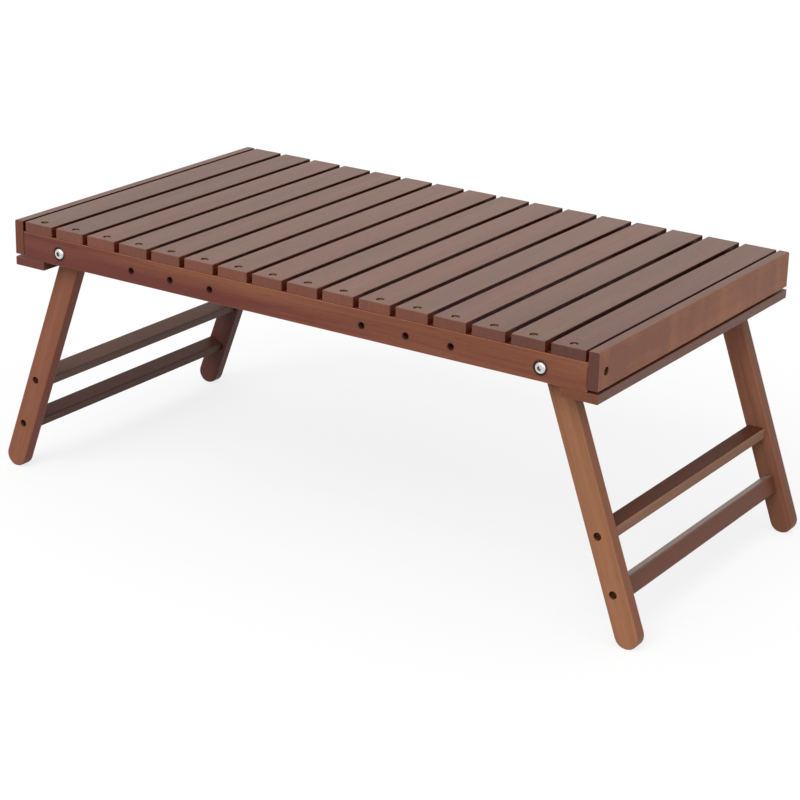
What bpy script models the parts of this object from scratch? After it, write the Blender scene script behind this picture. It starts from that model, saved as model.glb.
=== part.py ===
"""Folding camping table: a slatted wooden top with two leg frames that fold flat between its side rails.

Metres, +Z up, +X along the table. The origin is on the floor under the middle of the open table.
"""

from math import cos, pi, radians, sin, tan

import bmesh
import bpy
from mathutils import Matrix

# Slatted top
TOP_HEIGHT = 0.379
TOP_WIDTH = 0.517
SLAT_COUNT = 16
SLAT_WIDTH = 0.04645
SLAT_GAP = 0.0083
SLAT_THICKNESS = 0.014
BOARD_ROUND = 0.0006

# Side rails, with the pivot bolts near their ends and a row of drilled holes in each half
RAIL_HEIGHT = 0.037
RAIL_THICKNESS = 0.027
PIVOT_INSET = 0.0635
SIDE_HOLE_COUNT = 3
SIDE_HOLE_START = 0.1187
SIDE_HOLE_PITCH = 0.06525
SIDE_HOLE_DIAMETER = 0.009
SIDE_HOLE_DEPTH = 0.015

# End boards that close the rails, and the strips under the rails that stop the open legs
END_GAP = 0.0043
END_BOARD_THICKNESS = 0.0142
END_BOARD_LIFT = 0.0038
END_BOARD_ROUND = 0.0025
END_SCREW_DROP = 0.0263
END_SCREW_INSET = 0.018
STRIP_THICKNESS = 0.012
STRIP_OVERHANG = 0.0006

# Leg frames
LEG_TILT = radians(20.0)
LEG_WIDTH = 0.033
LEG_THICKNESS = 0.018
LEG_ROUND = 0.002
LEG_HEAD_CLEARANCE = 0.0035
ARC_STEPS = 4
RUNG_THICKNESS = 0.015
RUNG_ROUND = 0.0015
RUNG_OFFSET = 0.0025
UPPER_RUNG_WIDTH = 0.026
UPPER_RUNG_DROP = 0.220
LOWER_RUNG_WIDTH = 0.024
LOWER_RUNG_DROP = 0.2948

# Pivot bolts, with a washer between rail and leg and a sleeve nut that the leg turns on
BOLT_DIAMETER = 0.006
BOLT_ENGAGEMENT = 0.011
BOLT_HEAD_DIAMETER = 0.0154
BOLT_HEAD_HEIGHT = 0.0042
BOLT_HEAD_RIM = 0.0012
BOLT_POCKET_DEPTH = 0.0018
BOLT_POCKET_CLEARANCE = 0.0018
SOCKET_WIDTH = 0.005
SOCKET_DEPTH = 0.0025
WASHER_DIAMETER = 0.018
WASHER_THICKNESS = 0.0015
SLEEVE_WALL = 0.0012
SLEEVE_HEAD_HEIGHT = 0.003

# Wood screws, in counterbored holes
SCREW_DIAMETER = 0.004
SCREW_HEAD_DIAMETER = 0.008
SCREW_HEAD_HEIGHT = 0.0028
SCREW_CROSS_LENGTH = 0.0048
SCREW_CROSS_WIDTH = 0.0012
SCREW_CROSS_DEPTH = 0.0014
SCREW_HEAD_CLEARANCE = 0.0015
SLAT_COUNTERBORE_DEPTH = 0.004
LEG_COUNTERBORE_DEPTH = 0.006
END_COUNTERBORE_DEPTH = 0.005
STRIP_COUNTERBORE_DEPTH = 0.004
SCREW_BITE = 0.022
STRIP_SCREW_SPARE = 0.005

# Facets, and the gap between pieces that touch
HEAD_SIDES = 20
SCREW_SIDES = 12
SEAT = 0.0003
OVERCUT = 0.002

# Places worked out from the sizes above
SLAT_PITCH = SLAT_WIDTH + SLAT_GAP
SLATS_HALF = (SLAT_COUNT * SLAT_WIDTH + (SLAT_COUNT - 1) * SLAT_GAP) / 2
END_INNER = SLATS_HALF + END_GAP
END_OUTER = END_INNER + END_BOARD_THICKNESS
HALF_WIDTH = TOP_WIDTH / 2
RAIL_HALF = END_INNER - SEAT
RAIL_TOP = TOP_HEIGHT - SLAT_THICKNESS - SEAT
RAIL_BOTTOM = RAIL_TOP - RAIL_HEIGHT
RAIL_Y = HALF_WIDTH - RAIL_THICKNESS / 2
PIVOT_X = RAIL_HALF - PIVOT_INSET
PIVOT_Z = RAIL_TOP - LEG_WIDTH / 2 - LEG_HEAD_CLEARANCE
STRIP_TOP = RAIL_BOTTOM - SEAT
STRIP_BOTTOM = STRIP_TOP - STRIP_THICKNESS
LEG_EDGE_AT_STRIP = PIVOT_X + (PIVOT_Z - STRIP_BOTTOM) * tan(LEG_TILT) + LEG_WIDTH / 2 / cos(LEG_TILT)
STRIP_INNER = LEG_EDGE_AT_STRIP + SEAT
STRIP_OUTER = END_OUTER + STRIP_OVERHANG
STRIP_X = (STRIP_INNER + STRIP_OUTER) / 2
END_SCREW_Y = HALF_WIDTH - END_SCREW_INSET
END_SCREW_Z = TOP_HEIGHT - END_SCREW_DROP
STRIP_SCREW_BITE = END_SCREW_Z - RAIL_BOTTOM - SCREW_DIAMETER / 2 - STRIP_SCREW_SPARE
LEG_OUTER_Y = HALF_WIDTH - RAIL_THICKNESS - WASHER_THICKNESS - 2 * SEAT
LEG_Y = LEG_OUTER_Y - LEG_THICKNESS / 2
LEG_INNER_Y = LEG_OUTER_Y - LEG_THICKNESS
LEG_LENGTH = (PIVOT_Z - LEG_WIDTH / 2) / cos(LEG_TILT)
RUNG_LENGTH = 2 * (LEG_INNER_Y - SEAT)
BOLT_SEAT_Y = HALF_WIDTH - BOLT_POCKET_DEPTH + SEAT
SLEEVE_MOUTH_Y = LEG_OUTER_Y - SEAT
BOLT_LENGTH = BOLT_SEAT_Y - SLEEVE_MOUTH_Y + BOLT_ENGAGEMENT
COUNTERBORE_RADIUS = SCREW_HEAD_DIAMETER / 2 + SCREW_HEAD_CLEARANCE
SCREW_HOLE_RADIUS = SCREW_DIAMETER / 2 + SEAT
SLEEVE_BORE_RADIUS = BOLT_DIAMETER / 2 + SEAT
SLEEVE_RADIUS = SLEEVE_BORE_RADIUS + SLEEVE_WALL

# Turns that point a fastener's head, modelled towards +Z, out of the face that it sits in
FRONT, BACK = -1, 1
OUT_OF_SIDE = {FRONT: Matrix.Rotation(pi / 2, 4, "X"), BACK: Matrix.Rotation(-pi / 2, 4, "X")}
OUT_OF_END = {-1: Matrix.Rotation(-pi / 2, 4, "Y"), 1: Matrix.Rotation(pi / 2, 4, "Y")}
DOWNWARDS = Matrix.Rotation(pi, 4, "X")
SIDE_NAMES = {FRONT: "front", BACK: "back"}
END_NAMES = {-1: "left", 1: "right"}


def finish(name, colour, roughness, metallic=0.0):
    """A plain surface of one colour."""
    material = bpy.data.materials.new(name)
    material.use_nodes = True
    shader = material.node_tree.nodes["Principled BSDF"]
    shader.inputs["Base Color"].default_value = (*colour, 1.0)
    shader.inputs["Roughness"].default_value = roughness
    shader.inputs["Metallic"].default_value = metallic
    return material


def mesh_from(bm, name):
    bmesh.ops.recalc_face_normals(bm, faces=bm.faces)
    mesh = bpy.data.meshes.new(name)
    bm.to_mesh(mesh)
    bm.free()
    return mesh


def bar(name, length_x, length_y, length_z, rounding):
    """A rectangular bar about its own middle, with every edge eased."""
    bm = bmesh.new()
    bmesh.ops.create_cube(bm, size=1.0, matrix=Matrix.Diagonal((length_x, length_y, length_z, 1.0)))
    bmesh.ops.bevel(bm, geom=bm.edges, offset=rounding, segments=1, affect="EDGES")
    return mesh_from(bm, name)


def prism(outline, low, high):
    """An outline of (x, y) corners, extruded in z from low to high."""
    bm = bmesh.new()
    base = bm.faces.new([bm.verts.new((x, y, low)) for x, y in outline])
    grown = bmesh.ops.extrude_face_region(bm, geom=[base])
    lifted = [item for item in grown["geom"] if isinstance(item, bmesh.types.BMVert)]
    bmesh.ops.translate(bm, verts=lifted, vec=(0.0, 0.0, high - low))
    return bm


def turned(profile, sides, closed=False):
    """A profile of (radius, z) points, down its outer side, turned about z; closed joins its two ends."""
    bm = bmesh.new()
    rings = []
    for radius, z in profile:
        count = sides if radius > 0 else 1
        turns = [2 * pi * i / sides for i in range(count)]
        rings.append([bm.verts.new((radius * cos(turn), radius * sin(turn), z)) for turn in turns])
    following = rings[1:] + rings[:1] if closed else rings[1:]
    for upper, lower in zip(rings, following):
        for i in range(sides):
            downwards = [upper[i % len(upper)], lower[i % len(lower)]]
            upwards = [lower[(i + 1) % len(lower)], upper[(i + 1) % len(upper)]]
            bm.faces.new(list(dict.fromkeys(downwards + upwards)))
    return bm


def stepped_drill(wide_radius, wide_depth, radius, depth, sides):
    """A drill about z that leaves a counterbore, and a narrower hole on to the full depth, below z = 0."""
    profile = [
        (0.0, OVERCUT),
        (wide_radius, OVERCUT),
        (wide_radius, -wide_depth),
        (radius, -wide_depth),
        (radius, -depth),
        (0.0, -depth),
    ]
    return turned(profile, sides)


def plain_drill(radius, depth, sides):
    return turned([(0.0, OVERCUT), (radius, OVERCUT), (radius, -depth), (0.0, -depth)], sides)


def carved(blank, drills):
    """The blank with the drills, each a shape and its placing matrix, cut away."""
    cutter = bmesh.new()
    for shape, matrix in drills:
        bmesh.ops.transform(shape, matrix=matrix, verts=shape.verts)
        drill = mesh_from(shape, "drill")
        cutter.from_mesh(drill)
        bpy.data.meshes.remove(drill)
    stock = bpy.data.objects.new("stock", blank)
    tool = bpy.data.objects.new("tool", mesh_from(cutter, "tool"))
    for item in (stock, tool):
        bpy.context.scene.collection.objects.link(item)
    cut = stock.modifiers.new("cut", "BOOLEAN")
    cut.operation = "DIFFERENCE"
    cut.solver = "EXACT"
    cut.object = tool
    result = bpy.data.meshes.new_from_object(stock.evaluated_get(bpy.context.evaluated_depsgraph_get()))
    for item in (stock, tool):
        bpy.data.objects.remove(item)
    return result


def smooth(mesh):
    """Shades the round faces smooth and keeps the true edges sharp."""
    mesh.shade_smooth()
    mesh.set_sharp_from_angle(angle=radians(35))
    return mesh


def place(name, mesh, material, matrix, parent=None):
    """Adds a piece to the model, placed in its parent's frame or in the table's own."""
    piece = bpy.data.objects.new(name, mesh)
    if not mesh.materials:
        mesh.materials.append(material)
    bpy.context.scene.collection.objects.link(piece)
    piece.parent = parent
    piece.matrix_local = matrix
    return piece


def at(x, y, z):
    return Matrix.Translation((x, y, z))


def screw_mesh(length):
    """A pan-head wood screw with a cross recess, its head standing on z = 0 and its shank running down."""
    head = SCREW_HEAD_DIAMETER / 2
    shank = SCREW_DIAMETER / 2
    profile = [
        (0.0, SCREW_HEAD_HEIGHT),
        (0.75 * head, SCREW_HEAD_HEIGHT),
        (head, 0.0),
        (shank, 0.0),
        (shank, -length + SCREW_DIAMETER),
        (0.0, -length),
    ]
    reach, half = SCREW_CROSS_LENGTH / 2, SCREW_CROSS_WIDTH / 2
    quarter = [(reach, -half), (reach, half), (half, half)]
    cross = []
    for turn in range(4):
        c, s = round(cos(turn * pi / 2)), round(sin(turn * pi / 2))
        cross += [(c * x - s * y, s * x + c * y) for x, y in quarter]
    recess = prism(cross, SCREW_HEAD_HEIGHT - SCREW_CROSS_DEPTH, SCREW_HEAD_HEIGHT + OVERCUT)
    return smooth(carved(mesh_from(turned(profile, SCREW_SIDES), "screw"), [(recess, Matrix())]))


def screw_drill(counterbore_depth, depth):
    return stepped_drill(COUNTERBORE_RADIUS, counterbore_depth, SCREW_HOLE_RADIUS, depth, SCREW_SIDES)


def slat_mesh():
    """A top slat, counterbored at its front end for its screw."""
    blank = bar("slat", SLAT_WIDTH, TOP_WIDTH, SLAT_THICKNESS, BOARD_ROUND)
    drill = plain_drill(COUNTERBORE_RADIUS, SLAT_COUNTERBORE_DEPTH, SCREW_SIDES)
    return carved(blank, [(drill, at(0.0, FRONT * RAIL_Y, SLAT_THICKNESS / 2))])


def rail_mesh(side):
    """A side rail about its own middle, drilled for the pivots, the screws and the row of side holes."""
    blank = bar("rail", 2 * RAIL_HALF, RAIL_THICKNESS, RAIL_HEIGHT, BOARD_ROUND)
    outer = side * RAIL_THICKNESS / 2
    middle_z = (RAIL_TOP + RAIL_BOTTOM) / 2
    pocket = BOLT_HEAD_DIAMETER / 2 + BOLT_POCKET_CLEARANCE
    drills = []
    for end in (-1, 1):
        bolt_hole = stepped_drill(
            pocket, BOLT_POCKET_DEPTH, BOLT_DIAMETER / 2 + SEAT, RAIL_THICKNESS + OVERCUT, HEAD_SIDES
        )
        drills.append((bolt_hole, at(end * PIVOT_X, outer, PIVOT_Z - middle_z) @ OUT_OF_SIDE[side]))
        if side == FRONT:
            end_hole = plain_drill(SCREW_HOLE_RADIUS, SCREW_BITE + SEAT, SCREW_SIDES)
            end_place = at(end * RAIL_HALF, side * (END_SCREW_Y - RAIL_Y), END_SCREW_Z - middle_z)
            drills.append((end_hole, end_place @ OUT_OF_END[end]))
        strip_hole = plain_drill(SCREW_HOLE_RADIUS, STRIP_SCREW_BITE + SEAT, SCREW_SIDES)
        drills.append((strip_hole, at(end * STRIP_X, 0.0, -RAIL_HEIGHT / 2) @ DOWNWARDS))
        for i in range(SIDE_HOLE_COUNT):
            hole_x = end * (SIDE_HOLE_START + i * SIDE_HOLE_PITCH)
            hole = plain_drill(SIDE_HOLE_DIAMETER / 2, SIDE_HOLE_DEPTH, SCREW_SIDES)
            drills.append((hole, at(hole_x, outer, PIVOT_Z - middle_z) @ OUT_OF_SIDE[side]))
    return carved(blank, drills)


def end_board_mesh(end, middle_z):
    """An end board about its own middle, its upper outer edge rounded, counterbored for its screw."""
    half, top = END_BOARD_THICKNESS / 2, (TOP_HEIGHT - RAIL_BOTTOM - END_BOARD_LIFT) / 2
    arc = [pi / 2 * i / ARC_STEPS for i in range(ARC_STEPS + 1)]
    rounded = [
        (half - END_BOARD_ROUND * (1 - sin(turn)), top - END_BOARD_ROUND * (1 - cos(turn))) for turn in arc
    ]
    outline = [(-half, -top), (-half, top)] + rounded + [(half, -top)]
    bm = prism([(end * x, z) for x, z in outline], -HALF_WIDTH, HALF_WIDTH)
    bmesh.ops.transform(bm, matrix=OUT_OF_SIDE[FRONT], verts=bm.verts)
    blank = mesh_from(bm, "end_board")
    drill = screw_drill(END_COUNTERBORE_DEPTH, END_BOARD_THICKNESS + OVERCUT)
    place_on_face = at(end * END_BOARD_THICKNESS / 2, FRONT * END_SCREW_Y, END_SCREW_Z - middle_z)
    return smooth(carved(blank, [(drill, place_on_face @ OUT_OF_END[end])]))


def strip_mesh():
    blank = bar("stop_strip", STRIP_OUTER - STRIP_INNER, TOP_WIDTH, STRIP_THICKNESS, BOARD_ROUND)
    drills = []
    for side in (FRONT, BACK):
        drill = screw_drill(STRIP_COUNTERBORE_DEPTH, STRIP_THICKNESS + OVERCUT)
        drills.append((drill, at(0.0, side * RAIL_Y, -STRIP_THICKNESS / 2) @ DOWNWARDS))
    return carved(blank, drills)


def round_end(centre, heading):
    """Corners of a half circle about (0, centre), with one straight below it whichever way the leg leans."""
    radius = LEG_WIDTH / 2
    stops = [-pi / 2, -LEG_TILT, LEG_TILT, pi / 2]
    turns = [
        start + (stop - start) * i / ARC_STEPS
        for start, stop in zip(stops, stops[1:])
        for i in range(ARC_STEPS)
    ]
    turns.append(pi / 2)
    return [(heading * radius * sin(turn), centre + heading * radius * cos(turn)) for turn in turns]


def leg_mesh(side):
    """A leg with round ends, pivot at its origin and foot towards -Z, counterbored from its outer face."""
    outline = round_end(0.0, 1) + round_end(-LEG_LENGTH, -1)
    bm = prism(outline, -LEG_THICKNESS / 2, LEG_THICKNESS / 2)
    flats = [face for face in bm.faces if len(face.verts) == len(outline)]
    rims = [edge for face in flats for edge in face.edges]
    bmesh.ops.bevel(bm, geom=rims, offset=LEG_ROUND, segments=2, profile=0.5, affect="EDGES")
    bmesh.ops.transform(bm, matrix=OUT_OF_SIDE[FRONT], verts=bm.verts)
    outer = side * LEG_THICKNESS / 2
    pivot_hole = plain_drill(SLEEVE_RADIUS + SEAT, LEG_THICKNESS + OVERCUT, HEAD_SIDES)
    drills = [(pivot_hole, at(0.0, outer, 0.0) @ OUT_OF_SIDE[side])]
    for drop in (UPPER_RUNG_DROP, LOWER_RUNG_DROP):
        drill = screw_drill(LEG_COUNTERBORE_DEPTH, LEG_THICKNESS + OVERCUT)
        drills.append((drill, at(-RUNG_OFFSET, outer, -drop) @ OUT_OF_SIDE[side]))
    return smooth(carved(mesh_from(bm, "leg"), drills))


def rung_mesh(width):
    """A flat rung along Y, lying with its wide face up, drilled at each end for its screw."""
    blank = bar("rung", width, RUNG_LENGTH, RUNG_THICKNESS, RUNG_ROUND)
    drills = []
    for side in (FRONT, BACK):
        hole = plain_drill(SCREW_HOLE_RADIUS, SCREW_BITE + SEAT, SCREW_SIDES)
        drills.append((hole, at(0.0, side * RUNG_LENGTH / 2, 0.0) @ OUT_OF_SIDE[side]))
    return carved(blank, drills)


def low_dome(radius, rim, height):
    """The profile of a low domed head, from its middle out and down to its seat at z = 0."""
    steps = 3
    turns = [pi / 2 * i / steps for i in range(steps + 1)]
    dome = [(radius * sin(turn), rim + (height - rim) * cos(turn)) for turn in turns]
    return dome + [(radius, 0.0)]


def hex_socket(top):
    across = SOCKET_WIDTH / 2 / cos(pi / 6)
    corners = [(across * cos(i * pi / 3), across * sin(i * pi / 3)) for i in range(6)]
    return prism(corners, top - SOCKET_DEPTH, top + OVERCUT)


def bolt_mesh():
    """A furniture bolt with a broad, low domed head and a hexagon socket."""
    radius = BOLT_DIAMETER / 2
    head = low_dome(BOLT_HEAD_DIAMETER / 2, BOLT_HEAD_RIM, BOLT_HEAD_HEIGHT)
    profile = head + [(radius, 0.0), (radius, -BOLT_LENGTH), (0.0, -BOLT_LENGTH)]
    blank = mesh_from(turned(profile, HEAD_SIDES), "pivot_bolt")
    return smooth(carved(blank, [(hex_socket(BOLT_HEAD_HEIGHT), Matrix())]))


def sleeve_nut_mesh():
    """The bolt's nut: a domed head with a sleeve that fills the leg's hole and takes the bolt."""
    length = LEG_THICKNESS
    head = low_dome(BOLT_HEAD_DIAMETER / 2, BOLT_HEAD_RIM, SLEEVE_HEAD_HEIGHT)
    profile = head + [
        (SLEEVE_RADIUS, 0.0),
        (SLEEVE_RADIUS, -length),
        (SLEEVE_BORE_RADIUS, -length),
        (SLEEVE_BORE_RADIUS, -SEAT),
        (0.0, -SEAT),
    ]
    return smooth(mesh_from(turned(profile, HEAD_SIDES), "sleeve_nut"))


def washer_mesh():
    outer, inner, half = WASHER_DIAMETER / 2, BOLT_DIAMETER / 2 + SEAT, WASHER_THICKNESS / 2
    profile = [(outer, half), (outer, -half), (inner, -half), (inner, half)]
    return smooth(mesh_from(turned(profile, HEAD_SIDES, closed=True), "spacer_washer"))


def build_top(slat_wood, rail_wood, end_wood, screw_steel):
    slat = slat_mesh()
    for i in range(SLAT_COUNT):
        slat_x = (i - (SLAT_COUNT - 1) / 2) * SLAT_PITCH
        place(f"slat_{i + 1:02d}", slat, slat_wood, at(slat_x, 0.0, TOP_HEIGHT - SLAT_THICKNESS / 2))
    for side in (FRONT, BACK):
        rail_place = at(0.0, side * RAIL_Y, (RAIL_TOP + RAIL_BOTTOM) / 2)
        place(f"{SIDE_NAMES[side]}_rail", rail_mesh(side), rail_wood, rail_place)
    end_middle = (TOP_HEIGHT + RAIL_BOTTOM + END_BOARD_LIFT) / 2
    end_screw = screw_mesh(END_BOARD_THICKNESS - END_COUNTERBORE_DEPTH + SCREW_BITE - SEAT)
    strip = strip_mesh()
    strip_screw = screw_mesh(STRIP_THICKNESS - STRIP_COUNTERBORE_DEPTH + STRIP_SCREW_BITE - SEAT)
    for end in (-1, 1):
        name = END_NAMES[end]
        end_x = end * (END_INNER + END_OUTER) / 2
        place(f"{name}_end_board", end_board_mesh(end, end_middle), end_wood, at(end_x, 0.0, end_middle))
        place(f"{name}_stop_strip", strip, end_wood, at(end * STRIP_X, 0.0, (STRIP_TOP + STRIP_BOTTOM) / 2))
        end_seat = at(end * (END_OUTER - END_COUNTERBORE_DEPTH + SEAT), FRONT * END_SCREW_Y, END_SCREW_Z)
        place(f"end_screw_{name}", end_screw, screw_steel, end_seat @ OUT_OF_END[end])
        for side in (FRONT, BACK):
            corner = f"{SIDE_NAMES[side]}_{name}"
            strip_seat = at(end * STRIP_X, side * RAIL_Y, STRIP_BOTTOM + STRIP_COUNTERBORE_DEPTH - SEAT)
            place(f"strip_screw_{corner}", strip_screw, screw_steel, strip_seat @ DOWNWARDS)


def build_pivots(bolt_steel, washer_steel):
    bolt, nut, washer = bolt_mesh(), sleeve_nut_mesh(), washer_mesh()
    washer_y = HALF_WIDTH - RAIL_THICKNESS - SEAT - WASHER_THICKNESS / 2
    for end in (-1, 1):
        for side in (FRONT, BACK):
            corner = f"{SIDE_NAMES[side]}_{END_NAMES[end]}"
            bolt_place = at(end * PIVOT_X, side * BOLT_SEAT_Y, PIVOT_Z) @ OUT_OF_SIDE[side]
            place(f"pivot_bolt_{corner}", bolt, bolt_steel, bolt_place)
            washer_place = at(end * PIVOT_X, side * washer_y, PIVOT_Z) @ OUT_OF_SIDE[side]
            place(f"spacer_washer_{corner}", washer, washer_steel, washer_place)
            nut_place = at(end * PIVOT_X, side * (LEG_INNER_Y - SEAT), PIVOT_Z) @ OUT_OF_SIDE[-side]
            place(f"sleeve_nut_{corner}", nut, bolt_steel, nut_place)


def build_leg_frames(leg_wood, rung_wood, screw_steel):
    """Two leg frames, each on an empty at its pivot axis, leaning out to its stop.

    The left rungs lie flat across their legs. On the right, one lies level and the lower stands on edge.
    """
    legs = {side: leg_mesh(side) for side in (FRONT, BACK)}
    upper_rung, lower_rung = rung_mesh(UPPER_RUNG_WIDTH), rung_mesh(LOWER_RUNG_WIDTH)
    screw = screw_mesh(LEG_THICKNESS - LEG_COUNTERBORE_DEPTH + SCREW_BITE - SEAT)
    upper_turn = {-1: Matrix(), 1: Matrix.Rotation(LEG_TILT, 4, "Y")}
    lower_turn = {-1: Matrix(), 1: Matrix.Rotation(pi / 2, 4, "Y")}
    for end in (-1, 1):
        name = END_NAMES[end]
        pivot = bpy.data.objects.new(f"{name}_leg_pivot", None)
        bpy.context.scene.collection.objects.link(pivot)
        pivot.location = (end * PIVOT_X, 0.0, PIVOT_Z)
        pivot.rotation_euler = (0.0, -end * LEG_TILT, 0.0)
        upper_place = at(-RUNG_OFFSET, 0.0, -UPPER_RUNG_DROP) @ upper_turn[end]
        place(f"{name}_upper_rung", upper_rung, rung_wood, upper_place, pivot)
        lower_place = at(-RUNG_OFFSET, 0.0, -LOWER_RUNG_DROP) @ lower_turn[end]
        place(f"{name}_lower_rung", lower_rung, rung_wood, lower_place, pivot)
        for side in (FRONT, BACK):
            place(f"{SIDE_NAMES[side]}_{name}_leg", legs[side], leg_wood, at(0.0, side * LEG_Y, 0.0), pivot)
            for level_name, drop in (("upper", UPPER_RUNG_DROP), ("lower", LOWER_RUNG_DROP)):
                seat = at(-RUNG_OFFSET, side * (LEG_OUTER_Y - LEG_COUNTERBORE_DEPTH + SEAT), -drop)
                screw_name = f"rung_screw_{level_name}_{SIDE_NAMES[side]}_{name}"
                place(screw_name, screw, screw_steel, seat @ OUT_OF_SIDE[side], pivot)


for old in list(bpy.data.objects):
    bpy.data.objects.remove(old)

slat_finish = finish("slat_wood", (0.150, 0.075, 0.052), 0.38)
rail_finish = finish("rail_wood", (0.170, 0.068, 0.043), 0.42)
end_finish = finish("end_wood", (0.185, 0.085, 0.055), 0.42)
leg_finish = finish("leg_wood", (0.220, 0.100, 0.058), 0.42)
rung_finish = finish("rung_wood", (0.130, 0.058, 0.042), 0.40)
bolt_finish = finish("plated_steel", (0.80, 0.79, 0.77), 0.22, 1.0)
washer_finish = finish("washer_steel", (0.62, 0.62, 0.61), 0.35, 1.0)
screw_finish = finish("dark_screw_steel", (0.09, 0.06, 0.045), 0.45, 1.0)

build_top(slat_finish, rail_finish, end_finish, screw_finish)
build_pivots(bolt_finish, washer_finish)
build_leg_frames(leg_finish, rung_finish, screw_finish)
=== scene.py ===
from collections import namedtuple
from math import cos, pi, radians, sin, tau

import bmesh
import bpy
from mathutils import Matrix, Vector


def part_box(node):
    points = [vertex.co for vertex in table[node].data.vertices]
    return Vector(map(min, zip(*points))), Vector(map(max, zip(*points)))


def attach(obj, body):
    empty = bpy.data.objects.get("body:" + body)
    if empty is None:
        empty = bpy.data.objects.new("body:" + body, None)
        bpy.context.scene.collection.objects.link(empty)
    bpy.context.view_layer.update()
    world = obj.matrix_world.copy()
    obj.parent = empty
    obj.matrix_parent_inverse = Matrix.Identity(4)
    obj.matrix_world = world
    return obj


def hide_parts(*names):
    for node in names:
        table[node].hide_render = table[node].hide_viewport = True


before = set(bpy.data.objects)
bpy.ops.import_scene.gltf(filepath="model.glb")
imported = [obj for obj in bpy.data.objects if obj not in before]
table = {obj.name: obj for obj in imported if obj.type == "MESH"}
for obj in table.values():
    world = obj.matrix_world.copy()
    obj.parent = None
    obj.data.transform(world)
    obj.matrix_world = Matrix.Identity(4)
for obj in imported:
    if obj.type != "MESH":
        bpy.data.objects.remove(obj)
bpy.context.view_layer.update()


# The sixteen slats of the top: thin planed boards laid across the table on the rails, brown stain under a satin
# lacquer. Each is cut from another plank, so some lean to pink and some to olive. Their sides are painted near
# black as the shade in the gaps, and turn to their red stain at the front ends, where light falls into the gaps.
SLAT_COUNT = 16
SLATS = [f"{i + 1:02d}" for i in range(SLAT_COUNT)]
ALONG_Y = (0.0, 0.0, -pi / 2)
SLAT_PINK, SLAT_OLIVE = (0.172, 0.070, 0.046), (0.149, 0.075, 0.048)
SLAT_DARK, SLAT_PALE = 0.92, 1.20
SLAT_END_GRAIN, SLAT_DULL_END_GRAIN = (0.190, 0.067, 0.042), (0.106, 0.040, 0.029)
DULL_ENDS = 4
# Painted shade in the gaps, the sides' red stain at the gaps' front ends, and painted shade in the holes.
GAP_SHADE, MOUTH_STAIN, HOLE_SHADE = (0.034, 0.005, 0.002), (0.140, 0.027, 0.012), (0.060, 0.021, 0.010)
DEEP_POLISH = 0.15
GAP_MOUTH, MOUTH_FADE = 0.230, 60.0

# Waves a metre along, across and through the grain.
FIBRES, BANDS, PORES = (8.0, 260.0, 260.0), (1.6, 38.0, 38.0), (60.0, 1500.0, 1500.0)
RIBBONS, SAW_MARKS = (34.0, 5.0, 5.0), (60.0, 420.0, 50.0)
EDGE_RADIUS, HOLE_REACH, GRAIN_RELIEF = 0.0014, 0.008, 0.0002
PORE_SHARE, PORE_DARK = 0.4, 0.5
SAWN_DARK, SAWN_PALE, RUBBED_AND_LIT_PALE = 0.75, 1.25, 1.4
LACQUER_ROUGHNESS, FIBRE_ROUGHNESS, PORE_ROUGHNESS = 0.32, 0.2, 0.1
SAWN_ROUGHNESS, DRY_ROUGHNESS = 0.12, 0.7

# The faces of a board that have a colour of their own, most of them painted shade or a painted sheen: its share,
# how sharply it stops at their edges, how much smoother it makes them, and how far before the board's middle it
# turns to the redder stain of the gaps' mouths.
Face = namedtuple("Face", "stain share sharpness polish mouth", defaults=(0.0, 0.0))


def shade(colour, strength):
    return tuple(strength * part for part in colour)


def between(first, second, share):
    return tuple(a + share * (b - a) for a, b in zip(first, second))


def blank_material(name):
    """A new material, with its node tree and its shader."""
    material = bpy.data.materials.new(name)
    material.use_nodes = True
    return material, material.node_tree, material.node_tree.nodes["Principled BSDF"]


def link(tree, source, socket):
    tree.links.new(source, socket)


def calc(tree, operation, *values):
    """One sum on numbers or on the outputs of other nodes."""
    node = tree.nodes.new("ShaderNodeMath")
    node.operation = operation
    for socket, value in zip(node.inputs, values):
        if isinstance(value, (int, float)):
            socket.default_value = value
        else:
            link(tree, value, socket)
    return node.outputs[0]


def limited(tree, value):
    return calc(tree, "MINIMUM", calc(tree, "MAXIMUM", value, 0.0), 1.0)


def ramp(tree, value, slope, start):
    """A straight rise or fall with the value, held between 0 and 1."""
    return limited(tree, calc(tree, "MULTIPLY_ADD", value, slope, start))


def split(tree, vector):
    """The X, Y and Z of a vector."""
    node = tree.nodes.new("ShaderNodeSeparateXYZ")
    link(tree, vector, node.inputs[0])
    return node.outputs


def mottle(tree, place, waves, detail=2.0, roughness=0.5):
    """Soft noise about one half, with so many waves a metre in each direction."""
    scaled = tree.nodes.new("ShaderNodeVectorMath")
    scaled.operation = "MULTIPLY"
    scaled.inputs[1].default_value = waves
    link(tree, place, scaled.inputs[0])
    texture = tree.nodes.new("ShaderNodeTexNoise")
    texture.inputs["Scale"].default_value = 1.0
    texture.inputs["Detail"].default_value = detail
    texture.inputs["Roughness"].default_value = roughness
    link(tree, scaled.outputs[0], texture.inputs["Vector"])
    return texture.outputs["Fac"]


def blended(tree, share, first, second):
    """The first colour, giving way to the second by the share."""
    mix = tree.nodes.new("ShaderNodeMix")
    mix.data_type = "RGBA"
    link(tree, share, mix.inputs["Factor"])
    for socket, value in ((mix.inputs["A"], first), (mix.inputs["B"], second)):
        if isinstance(value, tuple):
            socket.default_value = (*value, 1.0)
        else:
            link(tree, value, socket)
    return mix.outputs["Result"]


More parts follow.
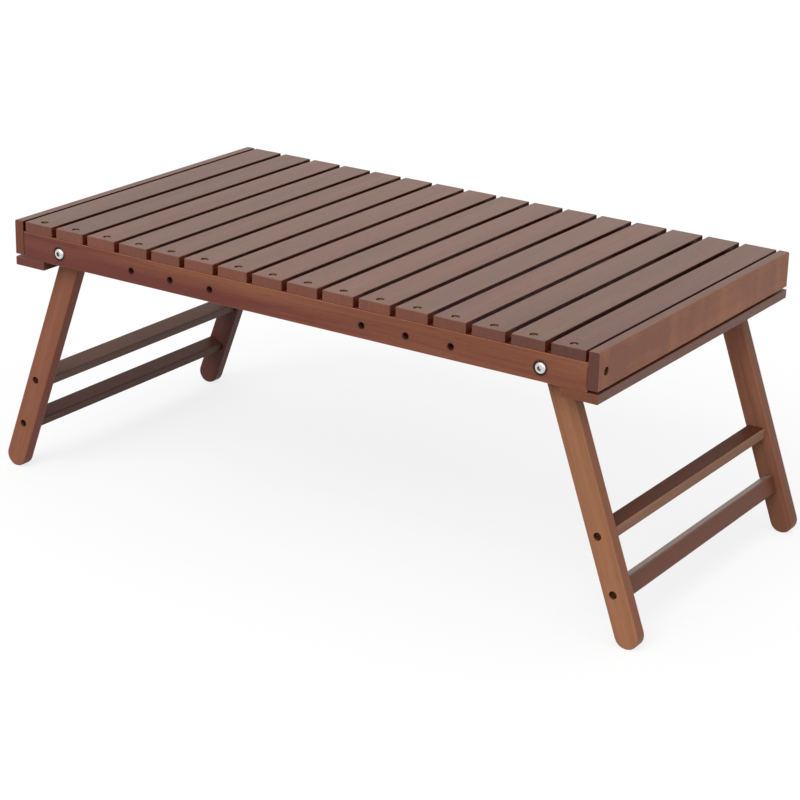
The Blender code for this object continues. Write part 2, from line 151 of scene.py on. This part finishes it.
def edge_nearness(tree, radius):
    """How far a spot lies on a sharp edge: for the rubbed finish and painted highlight there, and for dark rims round
    holes.
    """
    rounded = tree.nodes.new("ShaderNodeBevel")
    rounded.samples = 4
    rounded.inputs["Radius"].default_value = radius
    surface = tree.nodes.new("ShaderNodeNewGeometry")
    agreement = tree.nodes.new("ShaderNodeVectorMath")
    agreement.operation = "DOT_PRODUCT"
    link(tree, rounded.outputs[0], agreement.inputs[0])
    link(tree, surface.outputs["Normal"], agreement.inputs[1])
    return limited(tree, calc(tree, "SUBTRACT", 1.0, agreement.outputs["Value"]))


def hollows(tree, reach):
    """How deep a spot lies in a hole of its own board, where painted shade goes."""
    openness = tree.nodes.new("ShaderNodeAmbientOcclusion")
    openness.only_local = True
    openness.samples = 8
    openness.inputs["Distance"].default_value = reach
    return ramp(tree, openness.outputs["AO"], -1.7, 1.7)


def stained_wood(
    name, turn, plank, ground, pale, end_grain, faces=None, lean=0.0, ribbon=0.0, sheen=0.3, wear=0.4, rims=0.0,
):
    """Stained timber under satin lacquer.

    turn brings the grain onto X and plank picks a place in the tree. faces gives, by axis or by one end of it, the
    Face of the sides across it. lean lets the pale stain grow along the board, and ribbon sets the bands that cross
    the grain. sheen is the lacquer's own reflection, and wear how far the edges are rubbed pale and lit with a
    painted highlight. rims is how wide a dark ring, in the holes' painted shade, goes round holes drilled along the
    middle of the board.
    """
    material, tree, shader = blank_material(name)
    shader.inputs["Specular IOR Level"].default_value = sheen
    place = tree.nodes.new("ShaderNodeTexCoord")
    board = tree.nodes.new("ShaderNodeMapping")
    board.inputs["Rotation"].default_value = turn
    link(tree, place.outputs["Object"], board.inputs["Vector"])
    moved = tree.nodes.new("ShaderNodeVectorMath")
    moved.inputs[1].default_value = (1.7 * plank, 0.37 * plank, 0.53 * plank)
    link(tree, board.outputs["Vector"], moved.inputs[0])
    grain = moved.outputs[0]

    # The two stains share the wood by its fibres, bands and ribbons, and the pores stay dark.
    fibres = mottle(tree, grain, FIBRES, 4.0, 0.65)
    bands = mottle(tree, grain, BANDS)
    pores = ramp(tree, mottle(tree, grain, PORES, 1.0), 8.0, -4.8)
    paleness = calc(tree, "MULTIPLY_ADD", fibres, 1.3, -0.25)
    paleness = calc(tree, "ADD", paleness, calc(tree, "MULTIPLY_ADD", bands, 2.2, -1.10))
    if ribbon:
        ribbons = mottle(tree, grain, RIBBONS, 1.0)
        paleness = calc(tree, "ADD", paleness, calc(tree, "MULTIPLY_ADD", ribbons, 2.0 * ribbon, -ribbon))
    if lean:
        paleness = calc(tree, "MULTIPLY_ADD", split(tree, board.outputs["Vector"])["X"], lean, paleness)
    colour = blended(tree, limited(tree, paleness), ground, pale)
    colour = blended(tree, calc(tree, "MULTIPLY", pores, PORE_SHARE), colour, shade(ground, PORE_DARK))

    facing = tree.nodes.new("ShaderNodeVectorRotate")
    facing.rotation_type = "EULER_XYZ"
    facing.inputs["Rotation"].default_value = turn
    link(tree, place.outputs["Normal"], facing.inputs["Vector"])
    square_to = split(tree, facing.outputs[0])

    def faces_across(axis, sharpness):
        way = square_to[axis[-1]]
        if axis[0] == "-":
            way = calc(tree, "MULTIPLY", way, -1.0)
        elif axis[0] != "+":
            way = calc(tree, "ABSOLUTE", way)
        return ramp(tree, way, sharpness, 1.0 - sharpness)

    # The sawn ends show end grain and are rougher than the planed faces.
    saw_marks = mottle(tree, grain, SAW_MARKS, 3.0, 0.6)
    sawn = blended(tree, saw_marks, shade(end_grain, SAWN_DARK), shade(end_grain, SAWN_PALE))
    at_end = faces_across("X", 4.0)
    colour = blended(tree, at_end, colour, sawn)
    rough = calc(tree, "MULTIPLY_ADD", fibres, FIBRE_ROUGHNESS, LACQUER_ROUGHNESS)
    rough = calc(tree, "MULTIPLY_ADD", at_end, SAWN_ROUGHNESS, rough)

    # Eased and sharp edges are rubbed pale and lit with a painted highlight, strongest on the rails' arris, but not
    # round the drilled holes, which get a dark rim in the holes' painted shade.
    along, across, up = (calc(tree, "ABSOLUTE", square_to[axis]) for axis in "XYZ")
    squareness = calc(tree, "MAXIMUM", calc(tree, "MAXIMUM", along, across), up)
    sharp_edges = calc(tree, "MULTIPLY", edge_nearness(tree, EDGE_RADIUS), 1.3)
    worn_and_lit = calc(tree, "MAXIMUM", ramp(tree, squareness, -5.0, 5.0), sharp_edges)
    hollow_shade = hollows(tree, HOLE_REACH)
    if rims:
        height = split(tree, place.outputs["Generated"])["Z"]
        off_middle = calc(tree, "ABSOLUTE", calc(tree, "SUBTRACT", height, 0.5))
        by_holes = ramp(tree, off_middle, -10.0, 4.2)
        worn_and_lit = calc(tree, "MULTIPLY", worn_and_lit, calc(tree, "SUBTRACT", 1.0, by_holes))
        dark_rim = limited(tree, calc(tree, "MULTIPLY", edge_nearness(tree, rims), 30.0))
        hollow_shade = calc(tree, "MAXIMUM", hollow_shade, calc(tree, "MULTIPLY", dark_rim, by_holes))
    colour = blended(tree, calc(tree, "MINIMUM", worn_and_lit, wear), colour, shade(pale, RUBBED_AND_LIT_PALE))

    # Faces with a colour of their own, most of them painted shade or a painted sheen. It is dry at the back ends of
    # the slats, so no glint shows in the gaps.
    for axis, face in (faces or {}).items():
        stain = face.stain
        share = calc(tree, "MULTIPLY", faces_across(axis, face.sharpness), face.share)
        if face.polish:
            rough = calc(tree, "MULTIPLY_ADD", share, -face.polish, rough)
        if face.mouth:
            lengthways = split(tree, board.outputs["Vector"])["X"]
            at_front = ramp(tree, lengthways, -MOUTH_FADE, -MOUTH_FADE * face.mouth)
            at_back = ramp(tree, lengthways, MOUTH_FADE, -MOUTH_FADE * face.mouth)
            stain = blended(tree, at_front, face.stain, MOUTH_STAIN)
            rough = calc(tree, "MULTIPLY_ADD", calc(tree, "MULTIPLY", at_back, share), DRY_ROUGHNESS, rough)
        colour = blended(tree, share, colour, stain)

    # Painted shade in the holes and in the dark rings round them.
    link(tree, blended(tree, hollow_shade, colour, HOLE_SHADE), shader.inputs["Base Color"])
    link(tree, calc(tree, "MULTIPLY_ADD", pores, PORE_ROUGHNESS, rough), shader.inputs["Roughness"])
    bump = tree.nodes.new("ShaderNodeBump")
    bump.inputs["Strength"].default_value = 0.3
    bump.inputs["Distance"].default_value = GRAIN_RELIEF
    link(tree, calc(tree, "MULTIPLY_ADD", pores, -0.8, fibres), bump.inputs["Height"])
    link(tree, bump.outputs[0], shader.inputs["Normal"])
    return material


def dress(node, material):
    """Gives a frame node its finished surface."""
    table[node].data.materials.clear()
    table[node].data.materials.append(material)


# No two neighbours are alike, the middle of the top is the lightest, and the last ends at the right are dull.
for i, number in enumerate(SLATS):
    tint = 0.5 + 0.3 * sin(2.4 * i + 0.6)
    strength = 0.84 + 0.18 * sin(pi * (i + 0.5) / SLAT_COUNT) + 0.05 * sin(4.1 * i + 1.0)
    ground = shade(between(SLAT_PINK, SLAT_OLIVE, tint), strength)
    dullness = max(0, i + 1 + DULL_ENDS - SLAT_COUNT) / DULL_ENDS
    end_strength = 0.98 + 0.13 * (1.0 - i / SLAT_COUNT) * sin(1.65 * i - 1.2)
    # The sides of every slat are painted near black as the shade in the gaps.
    slat_wood = stained_wood(
        f"slat_wood_{number}", ALONG_Y, 3.1 * i, shade(ground, SLAT_DARK), shade(ground, SLAT_PALE),
        shade(between(SLAT_END_GRAIN, SLAT_DULL_END_GRAIN, dullness), end_strength),
        faces={"Y": Face(GAP_SHADE, 0.97, 1.3, DEEP_POLISH, GAP_MOUTH)}, wear=0.15,
    )
    dress(f"slat_{number}", slat_wood)


# The slat screws: pan-head wood screws with a cross recess, bronzed dark. One stands at the bottom of the
# counterbore near the front end of every slat, just under the surface.
SLAT_SCREW_RADIUS = 0.0041
SLAT_SCREW_HEIGHT = 0.0029
SLAT_SCREW_INSET = 0.0135
SLAT_COUNTERBORE_DEPTH = 0.004
SCREW_LIFT = 0.0001
CROSS_REACH, CROSS_HALF_WIDTH, CROSS_DEPTH, CROSS_TAPER = 0.0022, 0.00075, 0.0014, 0.8
PLATE_WAVES = (420.0, 420.0, 420.0)


def plated(name, colour, roughness, scratches=0.15):
    """Plated steel, a little uneven in colour and polish."""
    material, tree, shader = blank_material(name)
    shader.inputs["Metallic"].default_value = 1.0
    place = tree.nodes.new("ShaderNodeTexCoord")
    wear = mottle(tree, place.outputs["Object"], PLATE_WAVES, 3.0, 0.6)
    link(tree, blended(tree, wear, shade(colour, 1.0 - scratches), colour), shader.inputs["Base Color"])
    link(tree, calc(tree, "MULTIPLY_ADD", wear, 0.2, roughness - 0.1), shader.inputs["Roughness"])
    return material


def ring(bm, radius, height, sides=24, start=0.0):
    """Points on a level circle, counted anticlockwise."""
    angles = [start + tau * i / sides for i in range(sides)]
    return [bm.verts.new((radius * cos(a), radius * sin(a), height)) for a in angles]


def skinned(bm, loops):
    """A closed skin from the lowest loop of points over the outside and down to the last one.

    A loop has as many points as the one before it, or an even share of them.
    """
    bm.faces.new(loops[0][::-1])
    for outer, inner in zip(loops, loops[1:]):
        share = len(outer) // len(inner)
        for i in range(len(inner)):
            side = [outer[(share * i + k) % len(outer)] for k in range(share + 1)]
            bm.faces.new(side + [inner[(i + 1) % len(inner)], inner[i]])
    bm.faces.new(loops[-1])


def mesh_of(bm, name):
    """Turns the finished skin into a mesh."""
    mesh = bpy.data.meshes.new(name)
    bm.to_mesh(mesh)
    bm.free()
    return mesh


def placed(name, data, location, turn):
    """A new object at its place in the scene."""
    thing = bpy.data.objects.new(name, data)
    thing.location = location
    thing.rotation_euler = turn
    bpy.context.scene.collection.objects.link(thing)
    return thing


def pan_head(name):
    """A low domed screw head on z = 0, with a cross recess in its top."""
    bm = bmesh.new()
    top, reach, half = SLAT_SCREW_HEIGHT, CROSS_REACH, CROSS_HALF_WIDTH
    profile = [(1.0, 0.0), (1.0, 0.45), (0.93, 0.72), (0.76, 0.93), (0.62, 1.0)]
    dome = [ring(bm, SLAT_SCREW_RADIUS * r, top * z, start=radians(-15.0)) for r, z in profile]
    corners = [
        (reach, -half), (reach, half), (half, half), (half, reach), (-half, reach), (-half, half),
        (-reach, half), (-reach, -half), (-half, -half), (-half, -reach), (half, -reach), (half, -half),
    ]
    mouth = [bm.verts.new((x, y, top)) for x, y in corners]
    bottom = [bm.verts.new((CROSS_TAPER * x, CROSS_TAPER * y, top - CROSS_DEPTH)) for x, y in corners]
    skinned(bm, dome + [mouth, bottom])
    return mesh_of(bm, name)


bronzed = plated("bronzed_screw", (0.30, 0.19, 0.14), 0.42)
slat_screw_mesh = pan_head("slat_screw_head")
slat_screw_mesh.materials.append(bronzed)
for i, number in enumerate(SLATS):
    low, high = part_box(f"slat_{number}")
    seat = ((low[0] + high[0]) / 2, low[1] + SLAT_SCREW_INSET, high[2] - SLAT_COUNTERBORE_DEPTH + SCREW_LIFT)
    screw = placed(f"slat_screw_{number}", slat_screw_mesh, seat, (0.0, 0.0, 1.9 * i))
    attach(screw, "table_top")


# The side rails: two straight planed battens under the slat ends, drilled for the pivot bolts and with a row of
# plain holes, painted dark inside and round their rims as shade. The stain goes from a dark red at the left to
# orange at the right. Their top and bottom faces are painted dark as shade, and their top front arris is painted
# pale as a highlight.
ALONG_X = (0.0, 0.0, 0.0)
# The third colour is painted shade on the top and bottom faces.
RAIL_DARK, RAIL_PALE, RAIL_TOP_SHADE = (0.136, 0.030, 0.019), (0.252, 0.088, 0.043), (0.085, 0.012, 0.004)
RAIL_END_GRAIN = (0.10, 0.032, 0.020)
RAIL_HOLE_RIM = 0.0032
for rail, plank in (("front_rail", 51.0), ("back_rail", 57.0)):
    rail_wood = stained_wood(
        f"{rail}_wood", ALONG_X, plank, RAIL_DARK, RAIL_PALE, RAIL_END_GRAIN,
        faces={"Z": Face(RAIL_TOP_SHADE, 0.95, 5.0)}, lean=0.9, wear=0.9, rims=RAIL_HOLE_RIM,
    )
    dress(rail, rail_wood)


# The end boards: wide boards screwed over the ends of the rails, flush with the slats, their outer top edge
# rounded over. Light catches a ribbon figure in them as upright bands of orange and olive brown.
ENDS = ("left", "right")
# The third colour is painted darker on the top faces as shade; the inner faces get the gaps' painted shade.
END_DARK, END_PALE, END_TOP_SHADE = (0.220, 0.058, 0.018), (0.330, 0.106, 0.029), (0.120, 0.054, 0.034)
END_END_GRAIN = {"left": (0.160, 0.042, 0.023), "right": (0.105, 0.036, 0.026)}
for end, plank, inner in zip(ENDS, (63.0, 69.0), ("-Y", "+Y")):
    end_wood = stained_wood(
        f"{end}_end_wood", ALONG_Y, plank, END_DARK, END_PALE, END_END_GRAIN[end],
        faces={"Z": Face(END_TOP_SHADE, 0.85, 1.4), inner: Face(GAP_SHADE, 0.95, 4.0, DEEP_POLISH)},
        ribbon=1.2, sheen=0.32, wear=0.1,
    )
    dress(f"{end}_end_board", end_wood)


# The stop strips: flat battens of the same stained wood, screwed from below to the rails under the end boards.
# An open leg bears on their inner edge.
STRIP_DARK, STRIP_PALE = (0.122, 0.041, 0.024), (0.175, 0.063, 0.037)
STRIP_END_GRAIN = {"left": (0.135, 0.040, 0.024), "right": (0.170, 0.060, 0.026)}
for end, plank in zip(ENDS, (73.0, 79.0)):
    strip_wood = stained_wood(
        f"{end}_strip_wood", ALONG_Y, plank, STRIP_DARK, STRIP_PALE, STRIP_END_GRAIN[end], wear=0.2,
    )
    dress(f"{end}_stop_strip", strip_wood)


# The legs: flat bars with round ends, leaning out from their pivots, cut from lighter timber than the top.
# The two at the right are yellower than those at the left, and the back left one is the darkest. The back right
# one is painted paler towards its pivot, a painted light against the table top's shadow. The edges of each leg
# have their own stain, darkened as painted shade.
CORNERS = [(side, end) for side in ("front", "back") for end in ENDS]
LEG_LEAN = radians(20.0)
LEG_END_GRAIN = 0.8
# Leg by leg: the stain of the faces, the stain of the edges with its painted shade, how dark and how pale the
# first gets, and how much painted light lifts it upwards.
LEG_LOOKS = (
    ((0.280, 0.106, 0.061), (0.250, 0.057, 0.028), 0.9, 1.3, 0.0),
    ((0.332, 0.146, 0.076), (0.215, 0.074, 0.039), 0.9, 1.3, 0.0),
    ((0.125, 0.046, 0.035), (0.110, 0.033, 0.021), 0.9, 1.3, 0.0),
    ((0.268, 0.109, 0.063), (0.145, 0.058, 0.032), 0.78, 1.55, 3.5),
)
for i, ((side, end), (stain, edge_stain_and_shade, dark, pale, upward_painted_light)) in enumerate(zip(CORNERS, LEG_LOOKS)):
    lean = LEG_LEAN if end == "left" else -LEG_LEAN
    leg_wood = stained_wood(
        f"{side}_{end}_leg_wood", (0.0, pi / 2 - lean, 0.0), 85.0 + 5.0 * i,
        shade(stain, dark), shade(stain, pale), shade(stain, LEG_END_GRAIN),
        faces={"Z": Face(edge_stain_and_shade, 0.7, 2.5)}, lean=upward_painted_light, sheen=0.14, wear=0.1,
    )
    dress(f"{side}_{end}_leg", leg_wood)


# The rungs: bars screwed between the legs of a frame, darker than the legs. The right upper one lies level, the
# others square to their legs. Their upper and lower faces are painted apart from their sides: darker as painted
# shade on the left lower and right upper ones, lighter as a painted sheen on the left upper and right lower ones.
RUNG_DARK, RUNG_PALE, RUNG_END_GRAIN = 0.85, 1.25, (0.09, 0.035, 0.025)
for i, (rung, lean, stain, top_shade_and_sheen, sheen) in enumerate((
    ("left_upper", -LEG_LEAN, (0.145, 0.077, 0.055), (0.165, 0.087, 0.066), 0.12),
    ("left_lower", -LEG_LEAN, (0.115, 0.048, 0.032), (0.072, 0.026, 0.018), 0.12),
    ("right_upper", 0.0, (0.320, 0.170, 0.113), (0.076, 0.018, 0.008), 0.03),
    ("right_lower", LEG_LEAN, (0.134, 0.041, 0.019), (0.305, 0.220, 0.180), 0.25),
)):
    rung_wood = stained_wood(
        f"{rung}_rung_wood", (0.0, lean, -pi / 2), 111.0 + 3.0 * i, shade(stain, RUNG_DARK),
        shade(stain, RUNG_PALE), RUNG_END_GRAIN, faces={"Z": Face(top_shade_and_sheen, 0.85, 2.5)}, sheen=sheen, wear=0.1,
    )
    dress(f"{rung}_rung", rung_wood)


# The pivots: bright-plated bolts with a low head and a hexagon socket, let into the rails. Each runs through a
# zinc washer and the leg into a sleeve nut.
BOLT_RADIUS, BOLT_SHOULDER, BOLT_CROWN, BOLT_SIDES = 0.0077, 0.97, 0.50, 48
BOLT_HEAD_HEIGHT, BOLT_RIM_HEIGHT, BOLT_RIM_EASE = 0.0042, 0.0012, 0.0003
SHANK_RADIUS, SHANK_CHAMFER = 0.003, 0.0006
SOCKET_RADIUS, SOCKET_DEPTH, SOCKET_SIDES = 0.0034, 0.0026, 6
SOCKET_EASE_WIDTH, SOCKET_EASE_DEPTH = 0.0002, 0.0003


def faces_at(loop):
    """The faces that meet a loop of points."""
    return {face for corner in loop for face in corner.link_faces}


def bolt(name, length):
    """A bolt with its head standing on z = 0 and its shank running down."""
    bm = bmesh.new()
    rise = BOLT_HEAD_HEIGHT - BOLT_RIM_HEIGHT
    dome = [
        (BOLT_RADIUS * (BOLT_CROWN + (BOLT_SHOULDER - BOLT_CROWN) * cos(a)), BOLT_RIM_HEIGHT + rise * sin(a))
        for a in (radians(step) for step in (0.0, 18.0, 36.0, 54.0, 72.0, 90.0))
    ]
    profile = [
        (SHANK_RADIUS - SHANK_CHAMFER, -length), (SHANK_RADIUS, -length + SHANK_CHAMFER), (SHANK_RADIUS, 0.0),
        (BOLT_RADIUS * BOLT_SHOULDER, 0.0), (BOLT_RADIUS, BOLT_RIM_EASE),
        (BOLT_RADIUS, BOLT_RIM_HEIGHT - BOLT_RIM_EASE),
    ] + dome
    loops = [ring(bm, r, z, BOLT_SIDES) for r, z in profile]
    mouth = ring(bm, SOCKET_RADIUS, BOLT_HEAD_HEIGHT, SOCKET_SIDES)
    inside = ring(bm, SOCKET_RADIUS - SOCKET_EASE_WIDTH, BOLT_HEAD_HEIGHT - SOCKET_EASE_DEPTH, SOCKET_SIDES)
    bottom = ring(bm, SOCKET_RADIUS - SOCKET_EASE_WIDTH, BOLT_HEAD_HEIGHT - SOCKET_DEPTH, SOCKET_SIDES)
    skinned(bm, loops + [mouth, inside, bottom])
    socket_walls = faces_at(inside) & faces_at(bottom)
    for face in bm.faces:
        face.smooth = True
        face.material_index = int(face in socket_walls)
    mesh = mesh_of(bm, name)
    mesh.set_sharp_from_angle(angle=radians(35.0))
    return mesh


bright = plated("bright_plate", (0.70, 0.69, 0.67), 0.25)
# The socket walls are painted dark as the shade inside the socket.
socket_shade = plated("socket_painted_shade", (0.10, 0.095, 0.085), 0.4)
zinc = plated("zinc_plate", (0.62, 0.62, 0.60), 0.38)
for side, end in CORNERS:
    node = f"pivot_bolt_{side}_{end}"
    low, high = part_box(node)
    outer = low[1] if side == "front" else high[1]
    outwards = -1.0 if side == "front" else 1.0
    mesh = bolt(f"{node}_mesh", high[1] - low[1] - BOLT_HEAD_HEIGHT)
    mesh.materials.append(bright)
    mesh.materials.append(socket_shade)
    seat = ((low[0] + high[0]) / 2, outer - outwards * BOLT_HEAD_HEIGHT, (low[2] + high[2]) / 2)
    piece = placed(f"bright_bolt_{side}_{end}", mesh, seat, (-outwards * pi / 2, 0.0, 0.0))
    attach(piece, "table_top")
    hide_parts(node)
    dress(f"sleeve_nut_{side}_{end}", bright)
    dress(f"spacer_washer_{side}_{end}", zinc)


# The other wood screws, all sunk in counterbores: two in every rung, two in every stop strip, one in every end
# board. They are bronzed, and painted darker than the slat screws as the shade of their deep holes.
bronzed_and_shaded = plated("bronzed_screw_painted_shade", (0.085, 0.036, 0.016), 0.5)
for side, end in CORNERS:
    for screw in ("strip_screw", "rung_screw_upper", "rung_screw_lower"):
        dress(f"{screw}_{side}_{end}", bronzed_and_shaded)
for end in ENDS:
    dress(f"end_screw_{end}", bronzed_and_shaded)


# The studio: a pale floor that keeps the table's shadow and shows white, even soft light all round, a broad
# soft light overhead, a stronger one at the front and a weak one at the right.
FLOOR_SIZE, FLOOR_COLOUR, FLOOR_GLOW = 60.0, 0.25, 0.76
ROOM_LIGHT = 0.40
WHITE = (1.0, 1.0, 1.0, 1.0)


def seen_directly(tree):
    """1 for what the camera sees straight, mirrored or through glass."""
    path = tree.nodes.new("ShaderNodeLightPath")
    seen = calc(tree, "MAXIMUM", path.outputs["Is Camera Ray"], path.outputs["Is Glossy Ray"])
    return calc(tree, "MAXIMUM", seen, path.outputs["Is Transmission Ray"])


bpy.ops.mesh.primitive_plane_add(size=FLOOR_SIZE)
floor = bpy.context.object
floor.name = "floor"
paper, tree, shader = blank_material("white_paper")
shader.inputs["Base Color"].default_value = (FLOOR_COLOUR, FLOOR_COLOUR, FLOOR_COLOUR, 1.0)
shader.inputs["Roughness"].default_value = 1.0
shader.inputs["Specular IOR Level"].default_value = 0.0
shader.inputs["Emission Color"].default_value = WHITE
link(tree, calc(tree, "MULTIPLY", seen_directly(tree), FLOOR_GLOW), shader.inputs["Emission Strength"])
floor.data.materials.append(paper)

world = bpy.data.worlds.new("studio")
bpy.context.scene.world = world
world.use_nodes = True
tree = world.node_tree
sky = tree.nodes["Background"]
sky.inputs["Color"].default_value = WHITE
brightness = calc(tree, "MULTIPLY_ADD", seen_directly(tree), 1.0 - ROOM_LIGHT, ROOM_LIGHT)
link(tree, brightness, sky.inputs["Strength"])

for name, towards, strength, spread in (
    ("overhead", (-0.15, 0.10, 1.0), 0.5, 80.0),
    ("front", (0.05, -0.78, 0.62), 2.0, 50.0),
    ("right", (1.0, -0.25, 0.40), 0.7, 60.0),
):
    lamp = bpy.data.lights.new(name, "SUN")
    lamp.energy = strength
    lamp.angle = radians(spread)
    placed(name, lamp, (0.0, 0.0, 0.0), Vector(towards).to_track_quat("Z", "Y").to_euler())


# The photograph's viewpoint: to the right of the table's front and a little above its top, through a long lens.
# The place, the turn and the lens were fitted to the table's edges, gaps, bolts and holes.
CAMERA_PLACE = (1.63381, -2.47947, 1.24537)
CAMERA_TURN = (radians(69.6406), radians(-1.3488), radians(33.7374))
camera = placed("camera", bpy.data.cameras.new("camera"), CAMERA_PLACE, CAMERA_TURN)
camera.data.sensor_width = 36.0
camera.data.lens = 103.459
bpy.context.scene.camera = camera
bpy.context.scene.view_settings.view_transform = "Standard"
